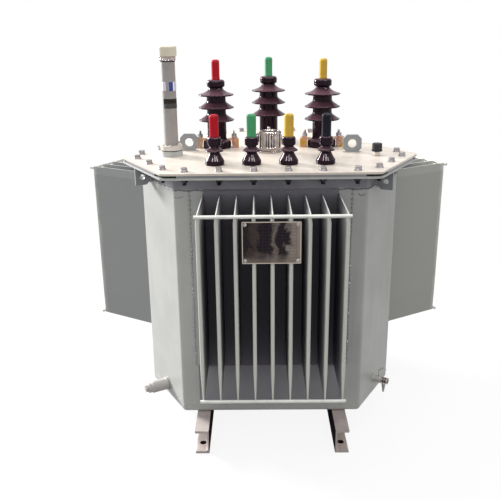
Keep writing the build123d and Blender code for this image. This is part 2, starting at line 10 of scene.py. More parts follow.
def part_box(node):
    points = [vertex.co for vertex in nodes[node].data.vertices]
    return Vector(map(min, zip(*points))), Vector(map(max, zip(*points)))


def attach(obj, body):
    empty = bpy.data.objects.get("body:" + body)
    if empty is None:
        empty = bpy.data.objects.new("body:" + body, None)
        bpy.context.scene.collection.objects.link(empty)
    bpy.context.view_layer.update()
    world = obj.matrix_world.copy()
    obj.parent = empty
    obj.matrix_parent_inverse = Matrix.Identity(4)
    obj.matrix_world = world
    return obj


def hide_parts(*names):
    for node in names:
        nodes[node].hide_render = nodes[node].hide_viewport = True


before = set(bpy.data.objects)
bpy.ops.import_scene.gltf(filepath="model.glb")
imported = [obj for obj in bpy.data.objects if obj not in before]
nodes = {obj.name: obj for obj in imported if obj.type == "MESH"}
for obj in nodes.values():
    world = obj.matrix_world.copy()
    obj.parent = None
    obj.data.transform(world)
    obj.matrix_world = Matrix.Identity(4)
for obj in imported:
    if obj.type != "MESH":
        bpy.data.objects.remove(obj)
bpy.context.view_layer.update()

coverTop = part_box("cover_plate")[1].z
print("frame loaded,", len(nodes), "nodes")

# plan of the six-sided tank, in millimetres, as the frame has it
plan = {
    "longWall": 568.0,
    "shortWall": 260.0,
    "panTop": 108.0,
    "longBearings": (0, 120, 240),  # nameplate wall first
    "shortBearings": (60, 180, 300),
}
longReach = (plan["longWall"] + 2 * plan["shortWall"]) / (2 * math.sqrt(3))
shortReach = (2 * plan["longWall"] + plan["shortWall"]) / (2 * math.sqrt(3))


def mm(value):
    return value / 1000


def wallSpot(bearing, reach, along, height):
    # a point measured off one wall: out from the tank's axis, along the wall, and up, in mm
    turn = math.radians(bearing)
    x = reach * math.sin(turn) + along * math.cos(turn)
    y = -reach * math.cos(turn) + along * math.sin(turn)
    return Vector((mm(x), mm(y), mm(height)))


def pick(*objects):
    if bpy.context.object and bpy.context.object.mode != "OBJECT":
        bpy.ops.object.mode_set(mode="OBJECT")
    bpy.ops.object.select_all(action="DESELECT")
    for obj in objects:
        obj.select_set(True)
        bpy.context.view_layer.objects.active = obj


def editStart(obj):
    pick(obj)
    bpy.ops.object.mode_set(mode="EDIT")
    bpy.ops.mesh.select_all(action="DESELECT")


def editEnd():
    bpy.ops.object.mode_set(mode="OBJECT")


def selectFaces(obj, test):
    # in edit mode: selects the faces whose centre (mm) and normal pass the test
    bpy.ops.mesh.select_mode(type="FACE")
    mesh = bmesh.from_edit_mesh(obj.data)
    for face in mesh.faces:
        face.select_set(test(face.calc_center_median() * 1000, face.normal))
    bmesh.update_edit_mesh(obj.data)


def selectEdges(obj, test):
    # in edit mode: selects the edges whose direction passes the test
    bpy.ops.mesh.select_mode(type="EDGE")
    mesh = bmesh.from_edit_mesh(obj.data)
    for edge in mesh.edges:
        first, second = (v.co * 1000 for v in edge.verts)
        edge.select_set(test((second - first).normalized()))
    bmesh.update_edit_mesh(obj.data)


def settle(obj, location=(0, 0, 0), turn=(0, 0, 0)):
    # moves a piece made at the origin to its place and keeps that place in its mesh
    pick(obj)
    obj.rotation_euler = turn
    obj.location = location
    bpy.ops.object.transform_apply(location=True, rotation=True, scale=True)


def smooth(obj, angle=38):
    pick(obj)
    bpy.ops.object.shade_smooth_by_angle(angle=math.radians(angle))


def copyPiece(source, name, location, turn=(0, 0, 0)):
    pick(source)
    bpy.ops.object.duplicate(linked=False)
    copied = bpy.context.object
    copied.name = name
    copied.data.name = name
    settle(copied, location, turn)
    return copied


def joinPieces(name, *objects):
    pick(*objects)
    bpy.context.view_layer.objects.active = objects[0]
    bpy.ops.object.join()
    joined = bpy.context.object
    joined.name = name
    joined.data.name = name
    return joined


def finishPiece(obj, slotName, material, *replaced):
    obj.data.materials.clear()
    obj.data.materials.append(material)
    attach(obj, "root")
    if replaced:
        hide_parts(*replaced)


def roundedProfile(rows):
    # rows of (radius, height, rounding) in mm; each rounded corner becomes a few points of an arc
    points = []
    for step, (radius, height, *rounding) in enumerate(rows):
        if not rounding or step in (0, len(rows) - 1):
            points.append((radius, height))
            continue
        corner = Vector((radius, height))
        before = Vector(rows[step - 1][:2]) - corner
        after = Vector(rows[step + 1][:2]) - corner
        cut = min(rounding[0], before.length * 0.48, after.length * 0.48)
        start = corner + before.normalized() * cut
        end = corner + after.normalized() * cut
        for part in (0, 0.25, 0.5, 0.75, 1):
            spot = start * (1 - part) ** 2 + corner * 2 * part * (1 - part) + end * part**2
            points.append((spot.x, spot.y))
    return points


def turnedPiece(name, rows, sides):
    # a disc drawn round the Z axis and pulled up row by row, as on a lathe
    points = roundedProfile(rows)
    pick()
    radius, height = points[0]
    bpy.ops.mesh.primitive_circle_add(
        vertices=sides, radius=mm(radius), fill_type="NGON", location=(0, 0, mm(height))
    )
    obj = bpy.context.object
    obj.name = name
    obj.data.name = name
    settle(obj, obj.location.copy())
    editStart(obj)
    bpy.ops.mesh.select_all(action="SELECT")
    for nextRadius, nextHeight in points[1:]:
        rise = (0, 0, mm(nextHeight - height))
        bpy.ops.mesh.extrude_region_move(TRANSFORM_OT_translate={"value": rise})
        grow = nextRadius / radius
        bpy.ops.transform.resize(value=(grow, grow, 1), center_override=(0, 0, 0))
        radius, height = nextRadius, nextHeight
    bpy.ops.mesh.select_all(action="SELECT")
    bpy.ops.mesh.normals_make_consistent(inside=False)
    editEnd()
    smooth(obj)
    return obj


def hexagon(name, across, low, high, chamfer=1.2):
    # hexagon bar end with the chamfered top of a nut or bolt head
    pick()
    radius = mm(across / math.sqrt(3))
    middle = mm((low + high) / 2)
    bpy.ops.mesh.primitive_cylinder_add(
        vertices=6, radius=radius, depth=mm(high - low), location=(0, 0, middle)
    )
    obj = bpy.context.object
    obj.name = name
    settle(obj, obj.location.copy())
    editStart(obj)
    selectFaces(obj, lambda centre, normal: normal.z > 0.9)
    bpy.ops.mesh.inset(thickness=mm(chamfer))
    bpy.ops.transform.translate(value=(0, 0, mm(chamfer * 0.6)))
    selectEdges(obj, lambda along: abs(along.z) > 0.9)
    bpy.ops.mesh.bevel(offset=mm(chamfer * 0.35), segments=2)
    editEnd()
    smooth(obj, 25)
    return obj


def linear(code):
    # sRGB hex to the linear colour that a shader takes
    channels = [int(code[start : start + 2], 16) / 255 for start in (1, 3, 5)]
    return tuple(c / 12.92 if c <= 0.04045 else ((c + 0.055) / 1.055) ** 2.4 for c in channels) + (1.0,)


def addNode(tree, kind, links=None, stops=(), **settings):
    # One node. A link is a value, a hex colour, a node for its first output, or a (node,
    # output) pair; stops are a ramp's (position, hex colour or grey level) pairs.
    node = tree.nodes.new("ShaderNode" + kind)
    for name, value in settings.items():
        setattr(node, name, value)
    for name, value in (links or {}).items():
        if isinstance(value, bpy.types.Node):
            tree.links.new(value.outputs[0], node.inputs[name])
        elif isinstance(value, tuple) and isinstance(value[0], bpy.types.Node):
            tree.links.new(value[0].outputs[value[1]], node.inputs[name])
        else:
            node.inputs[name].default_value = linear(value) if isinstance(value, str) else value
    for _ in stops[2:]:
        node.color_ramp.elements.new(0.5)
    for number, (position, value) in enumerate(stops):
        node.color_ramp.elements[number].position = position
        colour = linear(value) if isinstance(value, str) else (value, value, value, 1)
        node.color_ramp.elements[number].color = colour
    return node


def startMaterial(name):
    # a bare material, what adds its nodes, and the coordinates that its patterns read
    material = bpy.data.materials.new(name)
    material.use_nodes = True
    material.node_tree.nodes.clear()
    add = partial(addNode, material.node_tree)
    return material, add, (add("TexCoord"), "Object")


def addGrain(add, place, scale, detail, strength, depth):
    # a fine skin: noise at this scale to the metre, and the bump that it gives, its depth in mm
    noise = add("TexNoise", {"Vector": place, "Scale": scale, "Detail": detail})
    bump = add("Bump", {"Height": noise, "Strength": strength, "Distance": mm(depth)})
    return noise, bump


def closeMaterial(material, colour, roughness, bump, ior=1.5, metallic=0.0, sheen=0.5):
    links = {"Base Color": colour, "Roughness": roughness, "Normal": bump, "IOR": ior}
    links |= {"Metallic": metallic, "Specular IOR Level": sheen}
    shader = addNode(material.node_tree, "BsdfPrincipled", links)
    addNode(material.node_tree, "OutputMaterial", {"Surface": shader})
    return material


def sprayedPaint(name, colour, shade, dust, roughness=0.42, peel=0.05):
    # Sprayed enamel on steel: an even film with orange peel a few mm across, faint
    # cloudiness where coats overlap, and run-down marks that darken it in streaks.
    material, add, place = startMaterial(name)
    cloud = add("TexNoise", {"Vector": place, "Scale": 5.0, "Detail": 4.0, "Roughness": 0.55})
    body = add("ValToRGB", {"Fac": cloud}, ((0.38, shade), (0.64, colour)))
    stretch = add("Mapping", {"Vector": place, "Scale": (1.0, 1.0, 0.08)})
    streak = add("TexNoise", {"Vector": stretch, "Scale": 38.0, "Detail": 3.0})
    marks = add("ValToRGB", {"Fac": streak}, ((0.55, 0), (0.78, 0.25)))
    dirty = add("MixRGB", {"Fac": marks, "Color1": body, "Color2": dust})
    speck = add("TexNoise", {"Vector": place, "Scale": 260.0, "Detail": 2.0})
    gloss = add("ValToRGB", {"Fac": speck}, ((0.3, roughness - 0.07), (0.75, roughness + 0.09)))
    bump = addGrain(add, place, 320.0, 2.5, peel, 0.6)[1]
    return closeMaterial(material, dirty, gloss, bump, 1.48)


tankPaint = sprayedPaint("sprayed_enamel_grey", "#B4B5B1", "#A9AAA7", "#8F8F8A")
# painted light: the cover and pocket have the tank's grey, made paler and warmer as it looks lit from above
coverLitPaint = sprayedPaint("sprayed_enamel_cover_painted_light", "#DDD3C7", "#CFC4B9", "#A79F90", 0.36)
fittingPaint = sprayedPaint("brushed_enamel_fittings", "#ADA7A8", "#A29C9C", "#827C7B", 0.45)
seatPaint = sprayedPaint("brushed_enamel_seat", "#B9BDBC", "#AEB1B0", "#8A8B89")
# painted shade: the lugs have the tank's grey, darkened for faces that turn from the light
lugShadePaint = sprayedPaint("sprayed_enamel_lugs_painted_shade", "#979A9C", "#8B8E90", "#6F7074")
tankLugShadePaint = sprayedPaint("sprayed_enamel_tank_lugs_painted_shade", "#94969A", "#87898D", "#6B6C70")
# painted shade: the stop strips, recessed under the cover, are darker
stopShadePaint = sprayedPaint("sprayed_enamel_stops_painted_shade", "#8B8A8E", "#7A797D", "#5E5C60")
# painted light: the tie bars are painted near white for the light on their tops
barLitPaint = sprayedPaint("enamel_bars_painted_light", "#EDECE6", "#DDDCD5", "#A3A198", 0.36)
# painted shade: the lower bands under the fins are darker
bandShadePaint = sprayedPaint("sprayed_enamel_band_painted_shade", "#86878B", "#7A7A7F", "#626166")
drainPaint = sprayedPaint("brushed_enamel_drain", "#BAB6B3", "#A9A5A2", "#8B8682", 0.4, 0.08)
# painted shadow: a darker enamel for the rim and foot welds, which lie in shade; the paint runs take it too
seamPaint = sprayedPaint("dark_enamel_painted_weld_shadow", "#8B878A", "#716D72", "#565257", peel=0.12)
weldPaint = sprayedPaint("enamel_over_weld", "#ACADAB", "#8E8F90", "#6B6A6D", 0.3, 0.12)
# cast cap under thick cream enamel: soft gloss, slight yellowing, dust in its pores
capEnamel = sprayedPaint("cream_enamel_cap", "#DDD5BF", "#D0C7AE", "#B3A98F", 0.4, 0.1)
# kraft paper soaked in oil: even brown, with a coarse matt grain
windingPaper = sprayedPaint("oiled_paper", "#B99463", "#A6824F", "#7C5E36", 0.6, 0.2)

feet = {
    "innerSide": 197.9,  # the webs' inner sides lie nearer the middle than this
    "lowFlange": 8.1,
    "holeX": 220.0,
    "holeY": 381.0,
    "holeRadius": 10.0,
}


def fromFootHole(add, place):
    # how far a point lies, in plan, from the middle of the nearest foot hole
    folded = add("VectorMath", {0: place}, operation="ABSOLUTE")
    level = add("VectorMath", {0: folded, 1: (1.0, 1.0, 0.0)}, operation="MULTIPLY")
    hole = (mm(feet["holeX"]), mm(feet["holeY"]), 0)
    return add("VectorMath", {0: level, 1: hole}, operation="DISTANCE"), "Value"


def primedChannel():
    # Rolled channel in thin grey primer: warm grey on the flanges and the side that faces out;
    # painted shade, near black, on the webs' inner sides and in the lower flanges' drilled holes.
    material, add, place = startMaterial("primed_channel_feet")
    cloud = add("TexNoise", {"Vector": place, "Scale": 16.0, "Detail": 5.0, "Roughness": 0.6})
    primer = add("ValToRGB", {"Fac": cloud}, ((0.35, "#AEA29F"), (0.66, "#C4B8B2")))
    # painted shade: near black for the webs' inner sides and the holes, where shade falls
    scale = add("ValToRGB", {"Fac": cloud}, ((0.35, "#2A252D"), (0.66, "#433C43")))
    split = add("SeparateXYZ", {"Vector": place})
    outward = add("Math", {0: (split, "X")}, operation="ABSOLUTE")
    shadedWebSide = add("Math", {0: outward, 1: mm(feet["innerSide"])}, operation="LESS_THAN")
    boreEdge = mm(feet["holeRadius"] + 0.4)
    bore = add("Math", {0: fromFootHole(add, place), 1: boreEdge}, operation="LESS_THAN")
    lowDown = add("Math", {0: (split, "Z"), 1: mm(feet["lowFlange"])}, operation="LESS_THAN")
    shadedHoleWall = add("Math", {0: bore, 1: lowDown}, operation="MULTIPLY")
    inner = add("Math", {0: shadedWebSide, 1: shadedHoleWall}, operation="MAXIMUM")
    sheen = add("MapRange", {"Value": inner, "To Min": 0.5, "To Max": 0.0})
    body = add("MixRGB", {"Fac": inner, "Color1": primer, "Color2": scale})
    bump = addGrain(add, place, 300.0, 3.0, 0.12, 0.5)[1]
    return closeMaterial(material, body, 0.56, bump, 1.48, sheen=sheen)


footPaint = primedChannel()


def twoToneAndShadeEnamel(name, upper, lower, height, blend):
    # Brushed enamel in two tones that meet at one height. On the rim the darker lower part is painted
    # shade under the rim's flange; on the gauge tube the paler lower part is light-coloured paint from its
    # neighbour.
    material, add, place = startMaterial(name)
    split = add("SeparateXYZ", {"Vector": place})
    reach = {"From Min": mm(height - blend), "From Max": mm(height + blend)}
    edge = add("MapRange", {"Value": (split, "Z")} | reach)
    cloud = add("TexNoise", {"Vector": place, "Scale": 22.0, "Detail": 4.0})
    high = add("ValToRGB", {"Fac": cloud}, ((0.36, upper[1]), (0.64, upper[0])))
    low = add("ValToRGB", {"Fac": cloud}, ((0.36, lower[1]), (0.64, lower[0])))
    body = add("MixRGB", {"Fac": edge, "Color1": low, "Color2": high})
    bump = addGrain(add, place, 340.0, 2.0, 0.07, 0.5)[1]
    return closeMaterial(material, body, 0.43, bump, 1.48)


# painted shade: the rim's skirt below its flange is darker
rimPaint = twoToneAndShadeEnamel("enamel_rim_painted_shade", ("#BBBCB8", "#AEAFAB"), ("#8E8C93", "#7F7D84"), 858, 1.5)
tubePaint = twoToneAndShadeEnamel("enamel_gauge_tube", ("#A29D9B", "#979290"), ("#D6D1CC", "#C6C1BC"), 916, 0.5)

fins = {
    "outermost": 200.3,  # past this, from the wall's middle, lie the outermost faces
    "headLow": 690.0,  # the painted shade in the gaps lightens between these heights
    "headHigh": 800.0,
    "headLit": 0.46,
    "frontReach": 224,
    "sideReach": 286,
}


def finsWithPaintedShade(bearing, reach, tipColour, sideColour):
    # Corrugated sheet with painted light and shade: full light colour at the fins' tips, on their thin
    # edges and on the outermost faces, and painted shade that deepens into the gaps and lifts towards the
    # top.
    material, add, place = startMaterial(f"fins_painted_shade_{bearing}")
    wallTurn = (0, 0, math.radians(-bearing))
    turned = add("Mapping", {"Vector": place, "Rotation": wallTurn})
    split = add("SeparateXYZ", {"Vector": turned})
    span = {"From Min": -mm(longReach + 1), "From Max": -mm(longReach + reach)}
    depth = add("MapRange", {"Value": (split, "Y")} | span)
    side = add("Math", {0: (split, "X")}, operation="ABSOLUTE")
    outermost = add("Math", {0: side, 1: mm(fins["outermost"])}, operation="GREATER_THAN")
    full = add("Math", {0: outermost, 1: 0.9}, operation="MULTIPLY")
    span = {"From Min": mm(fins["headLow"]), "From Max": mm(fins["headHigh"]), "To Max": fins["headLit"]}
    head = add("MapRange", {"Value": (split, "Z")} | span)
    airy = add("Math", {0: full, 1: head}, operation="MAXIMUM")
    share = add("Math", {0: depth, 1: airy}, operation="MAXIMUM")
    normal = (add("NewGeometry"), "Normal")
    facing = add("Mapping", {"Vector": normal, "Rotation": wallTurn})
    lean = add("SeparateXYZ", {"Vector": facing})
    leanAside = add("Math", {0: (lean, "X")}, operation="ABSOLUTE")
    thinEdge = add("Math", {0: leanAside, 1: 0.6}, operation="LESS_THAN")
    offWall = add("Math", {0: depth, 1: 0.06}, operation="GREATER_THAN")
    edge = add("Math", {0: thinEdge, 1: offWall}, operation="MULTIPLY")
    cloud = add("TexNoise", {"Vector": place, "Scale": 9.0, "Detail": 4.0, "Roughness": 0.6})
    uneven = add("Math", {0: cloud, 1: 0.1, 2: -0.05}, operation="MULTIPLY_ADD")
    litShare = add("Math", {0: share, 1: uneven}, operation="ADD")
    # painted shade in the gaps, from near black at the wall to the side and tip colours
    stops = ((0.08, "#332D3D"), (0.22, "#48444F"), (0.52, "#7E7D83"))
    stops += ((0.82, sideColour), (0.93, sideColour), (0.99, tipColour))
    flat = add("ValToRGB", {"Fac": litShare}, stops)
    body = add("MixRGB", {"Fac": edge, "Color1": flat, "Color2": tipColour})
    bump = addGrain(add, place, 320.0, 2.5, 0.05, 0.6)[1]
    return closeMaterial(material, body, 0.44, bump, 1.48)


def mouldedRubber(name, colour, shade):
    # Oil-proof rubber sheet: near black, matt, with a cut edge that shows fine pits.
    material, add, place = startMaterial(name)
    pits = add("TexVoronoi", {"Vector": place, "Scale": 700.0})
    body = add("ValToRGB", {"Fac": pits}, ((0.1, shade), (0.6, colour)))
    bump = add("Bump", {"Height": pits, "Strength": 0.3, "Distance": mm(0.3)})
    return closeMaterial(material, body, 0.78, bump)


gasketRubber = mouldedRubber("nitrile_rubber", "#17161A", "#0D0C0F")
# moulded nylon and a printed plate are as dark and matt as the rubber, with the same fine pits
blackPlastic = mouldedRubber("moulded_nylon_black", "#15121C", "#0B090F")
labelBlack = mouldedRubber("printed_label_black", "#1A120E", "#0A0709")


def glazedPorcelain():
    # Fired brown glaze: wet gloss over a dark body, with painted light that makes the faces looking up,
    # the sheds' slopes, paler, and waves too long to feel that bend the reflections.
    material, add, place = startMaterial("glazed_porcelain")
    pool = add("TexNoise", {"Vector": place, "Scale": 55.0, "Detail": 3.0})
    body = add("ValToRGB", {"Fac": pool}, ((0.3, "#170918"), (0.7, "#26121F")))
    # painted light: faces that look up are mixed towards a pale mauve
    split = add("SeparateXYZ", {"Vector": (add("NewGeometry"), "Normal")})
    slope = add("ValToRGB", {"Fac": (split, "Z")}, ((0.35, 0), (0.95, 0.75)))
    litTops = add("MixRGB", {"Fac": slope, "Color1": body, "Color2": "#6A4C55"})
    bump = addGrain(add, place, 90.0, 1.0, 0.25, 1.2)[1]
    return closeMaterial(material, litTops, 0.08, bump, 1.52, sheen=0.12)


porcelain = glazedPorcelain()


def shrunkSleeve(name, colour, shade):
    # Heat-shrunk polyolefin: satin, drawn thin in upright folds a few mm apart, with a
    # sheen that scuffs break up.
    material, add, place = startMaterial(name)
    stretch = add("Mapping", {"Vector": place, "Scale": (1.0, 1.0, 0.15)})
    fold, bump = addGrain(add, stretch, 150.0, 2.0, 0.2, 0.8)
    body = add("ValToRGB", {"Fac": fold}, ((0.3, shade), (0.72, colour)))
    scuff = add("TexNoise", {"Vector": place, "Scale": 420.0, "Detail": 3.0})
    gloss = add("ValToRGB", {"Fac": scuff}, ((0.3, 0.34), (0.7, 0.5)))
    return closeMaterial(material, body, gloss, bump, sheen=0.15)


sleeveMaterials = {
    "sleeve_red": shrunkSleeve("polyolefin_red", "#BE1025", "#A30D1E"),
    "sleeve_green": shrunkSleeve("polyolefin_green", "#50A272", "#429061"),
    "sleeve_yellow": shrunkSleeve("polyolefin_yellow", "#D6B04A", "#C49E3A"),
    "sleeve_black": shrunkSleeve("polyolefin_black", "#0C0F24", "#06070F"),
}


def platedMetal(name, colour, shade, roughness, scale=300.0, spread=0.1, bumpHeight=0.15):
    # Plated or polished metal: the plating's tint drifts over a few cm and its gloss
    # over a few mm, with a faint grain left by the tumbling or turning.
    material, add, place = startMaterial(name)
    drift = add("TexNoise", {"Vector": place, "Scale": 60.0, "Detail": 3.0})
    body = add("ValToRGB", {"Fac": drift}, ((0.35, shade), (0.65, colour)))
    fine, bump = addGrain(add, place, scale, 4.0, bumpHeight, 0.3)
    glossStops = ((0.3, max(roughness - spread, 0.03)), (0.7, roughness + spread))
    gloss = add("ValToRGB", {"Fac": fine}, glossStops)
    return closeMaterial(material, body, gloss, bump, metallic=1.0)


brightSteel = platedMetal("polished_stainless", "#B9AEAA", "#988E8B", 0.12, 900.0, 0.05, 0.04)
boltZinc = platedMetal("dull_zinc_bolts", "#A6A2A4", "#8B878A", 0.42)
# painted shade: the spindle is dark so that the gaps between the valve's nuts look shaded
spindleShade = platedMetal("spindle_painted_shade", "#4B484B", "#2E2B2F", 0.4)
# painted shade: the nuts and bolt ends under the rim's overhang get a dark plating
boltEndShade = platedMetal("bolt_ends_painted_shade", "#4A464C", "#2F2C32", 0.5)
valveSteel = platedMetal("nickel_plated_steel", "#9C9A97", "#7D7A78", 0.3)
coreSteel = platedMetal("electrical_steel", "#7B7E84", "#6A6D74", 0.5)


def passivatedZinc():
    # Yellow-passivated casting: the film shifts from brass yellow through pink to a
    # greenish tint within a few cm, over a blasted skin that scatters the light.
    material, add, place = startMaterial("passivated_zinc")
    drift = add("TexNoise", {"Vector": place, "Scale": 26.0, "Detail": 3.0, "Distortion": 0.6})
    stops = ((0.36, "#A87562"), (0.45, "#BF9A8D"), (0.55, "#B98732"), (0.64, "#A3984F"))
    body = add("ValToRGB", {"Fac": drift}, stops)
    skin, bump = addGrain(add, place, 240.0, 4.0, 0.3, 0.6)
    gloss = add("ValToRGB", {"Fac": skin}, ((0.3, 0.3), (0.7, 0.5)))
    return closeMaterial(material, body, gloss, bump, metallic=0.8)


goldZinc = passivatedZinc()

gauge = {
    "x": -314.0,
    "y": -77.0,
    "flangeTop": 34.0,
    "screws": 6,
    "screwCircle": 29.0,
    "sides": 90,
    "windowHalfAngle": 88.0,
    "seatWeld": 35.3,
}


def gaugeWindow():
    # Acrylic sight ring with a printed float card behind it: white, grey and blue bands
    # one beside the other round the tube, under a clear glossy face.
    material, add, place = startMaterial("acrylic_sight_window")
    shift = (mm(-gauge["x"]), mm(-gauge["y"]), 0)
    centred = add("Mapping", {"Vector": place, "Location": shift})
    split = add("SeparateXYZ", {"Vector": centred})
    toFront = add("Math", {0: (split, "Y"), 1: -1.0}, operation="MULTIPLY")
    angle = add("Math", {0: (split, "X"), 1: toFront}, operation="ARCTAN2")
    half = {"From Min": math.radians(-90), "From Max": math.radians(90)}
    around = add("MapRange", {"Value": angle} | half)
    stops = ((0.0, "#F4F2FA"), (0.325, "#38406E"), (0.345, "#F4F2FA"), (0.41, "#9C96A0"))
    stops += ((0.55, "#27418C"), (0.72, "#F4F2FA"), (0.8, "#C9B9D8"), (0.86, "#F4F2FA"))
    card = add("ValToRGB", {"Fac": around}, stops)
    card.color_ramp.interpolation = "CONSTANT"
    haze, bump = addGrain(add, place, 200.0, 2.0, 0.08, 0.4)
    gloss = add("ValToRGB", {"Fac": haze}, ((0.3, 0.08), (0.7, 0.2)))
    return closeMaterial(material, card, gloss, bump, 1.49)


sightWindow = gaugeWindow()

plateTable = {"row": 9.0, "column": 18.0, "line": 0.6, "lineShare": 0.45, "screwIn": 8.5}


def etchedPlate():
    # Etched stainless plate: a ground of brown-grey that turns nearly black in two clouded
    # bands, a painted highlight along the plate's edge, and table lines sunk a little into it.
    material, add, place = startMaterial("etched_stainless")
    low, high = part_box("nameplate")
    split = add("SeparateXYZ", {"Vector": place})
    across = add("MapRange", {"Value": (split, "X"), "From Min": low.x, "From Max": high.x})
    upward = add("MapRange", {"Value": (split, "Z"), "From Min": low.z, "From Max": high.z})
    cloudLinks = {"Vector": place, "Scale": 20.0, "Detail": 5.0, "Roughness": 0.6, "Distortion": 0.9}
    cloud = add("TexNoise", cloudLinks)
    drift = add("Math", {0: cloud, 1: 0.5, 2: -0.25}, operation="MULTIPLY_ADD")
    wandering = add("Math", {0: across, 1: drift}, operation="ADD")
    stops = ((0.0, "#2A2423"), (0.06, "#171219"), (0.2, "#3B322F"), (0.3, "#1A141B"), (0.48, "#1D171D"))
    stops += ((0.56, "#675E59"), (0.62, "#1E181E"), (0.74, "#1B151C"), (0.82, "#756B65"), (1.0, "#7E746D"))
    bands = add("ValToRGB", {"Fac": wandering}, stops)
    lowered = add("Math", {0: upward, 1: drift}, operation="ADD")
    foot = add("ValToRGB", {"Fac": lowered}, ((0.1, 0.7), (0.24, 0)))
    ground = add("MixRGB", {"Fac": foot, "Color1": bands, "Color2": "#6C625B"})
    ruled = []
    for axis, step in (("Z", plateTable["row"]), ("X", plateTable["column"])):
        fold = add("Math", {0: (split, axis), 1: mm(step / 2)}, operation="PINGPONG")
        edge = mm(step / 2 - plateTable["line"])
        ruled.append(add("Math", {0: fold, 1: edge}, operation="GREATER_THAN"))
    both = add("Math", {0: ruled[0], 1: ruled[1]}, operation="MAXIMUM")
    fromSide = add("Math", {0: across, 1: 0.5}, operation="PINGPONG")
    fromFoot = add("Math", {0: upward, 1: 0.5}, operation="PINGPONG")
    inFromSide = add("Math", {0: fromSide, 1: 0.05}, operation="GREATER_THAN")
    inFromFoot = add("Math", {0: fromFoot, 1: 0.07}, operation="GREATER_THAN")
    table = add("Math", {0: inFromSide, 1: inFromFoot}, operation="MULTIPLY")
    lines = add("Math", {0: both, 1: table}, operation="MULTIPLY")
    faint = add("Math", {0: lines, 1: plateTable["lineShare"]}, operation="MULTIPLY")
    drawn = add("MixRGB", {"Fac": faint, "Color1": ground, "Color2": "#3A3230"})
    # painted highlight: a pale strip along the plate's edges
    nearSide = add("Math", {0: fromSide, 1: 0.016}, operation="LESS_THAN")
    nearFoot = add("Math", {0: fromFoot, 1: 0.022}, operation="LESS_THAN")
    border = add("Math", {0: nearSide, 1: nearFoot}, operation="MAXIMUM")
    body = add("MixRGB", {"Fac": border, "Color1": drawn, "Color2": "#B3A79B"})
    bump = add("Bump", {"Height": lines, "Strength": 0.25, "Distance": mm(0.2)})
    return closeMaterial(material, body, 0.3, bump, metallic=0.85)


plateSteel = etchedPlate()
print("materials made")

# by the first letters of a node's name; the rest is in the tank's enamel
nodeFinishes = {
    "cover_plate": coverLitPaint,
    "cover_gasket": gasketRubber,
    "gauge_gasket": gasketRubber,
    "gauge_seat": seatPaint,
    "gauge_tube": tubePaint,
    "gauge_cap": capEnamel,
    "cover_lugs": lugShadePaint,
    "tank_lugs": tankLugShadePaint,
    # painted light and shade: tip colours lighter than the tank's grey, side colours darker, the left
    # panel's darkest
    "fin_panel_front": finsWithPaintedShade(0, fins["frontReach"], "#D3D2CB", "#ABADAA"),
    "fin_panel_right": finsWithPaintedShade(120, fins["sideReach"], "#CFCEC5", "#A7A8A3"),
    "fin_panel_left": finsWithPaintedShade(240, fins["sideReach"], "#BDBCB6", "#939594"),
    "fin_bars": barLitPaint,
    "lower_bands": bandShadePaint,
    "thermometer_pocket": coverLitPaint,
    "pocket_cap": blackPlastic,
    "tank_rim": rimPaint,
    "gasket_stops": stopShadePaint,
    "nameplate": plateSteel,
    "foot_channel": footPaint,
    "hv_claws": goldZinc,
    "valve_lever": brightSteel,
    "core": coreSteel,
    "windings": windingPaper,
}
for name, node in nodes.items():
    finish = next((m for start, m in nodeFinishes.items() if name.startswith(start)), tankPaint)
    node.data.materials.clear()
    node.data.materials.append(finish)
print("node finishes set")

hvBushing = {
    "spots": {"left": (-174.5, 65), "middle": (3.5, 200), "right": (181.5, 65)},
    "sheds": (90.0, 131.5, 173.0),
    "core": 32.0,
    "neck": 23.0,
    "shed": 59.5,
    "boot": (13.9, 226.5, 290.5),
    "sleeves": {"left": "sleeve_red", "middle": "sleeve_green", "right": "sleeve_yellow"},
    "leans": {"left": 0.5, "middle": -0.3, "right": 0.4},
}
core, shed = hvBushing["core"], hvBushing["shed"]
hvRows = [(40, 0), (46, 0, 2), (47.5, 5, 4), (47.5, 21, 5), (42, 26, 4), (36, 26.5, 4), (core, 33, 3)]
for low in hvBushing["sheds"]:
    root = hvBushing["neck"] if low == hvBushing["sheds"][-1] else core
    hvRows += [(core, low - 1, 4), (core + 8, low + 0.4, 3), (shed - 8, low + 0.6, 2)]
    hvRows += [(shed - 2, low + 1.2, 1.6), (shed, low + 3.8, 1.6), (shed - 0.6, low + 5.6, 1)]
    hvRows += [(shed - 6, low + 7.4, 3), (root + 15, low + 12, 9), (root + 3, low + 20, 5)]
    hvRows.append((root, low + 25, 2))
hvRows += [(22.8, 199.6, 0.5), (24, 200.6, 1), (29, 204, 4), (30, 209, 2), (29.3, 212, 1)]
hvRows += [(30, 215, 2), (29.4, 220, 3), (25.5, 225.4, 4), (18, 226.5, 2), (12, 226.5)]
hvModel = turnedPiece("hv_model", hvRows, 64)
for side, (x, y) in hvBushing["spots"].items():
    body = copyPiece(hvModel, f"hv_bushing_{side}", (mm(x), mm(y), coverTop))
    finishPiece(body, "porcelain", porcelain, f"hv_porcelain_{side}")
bpy.data.objects.remove(hvModel)

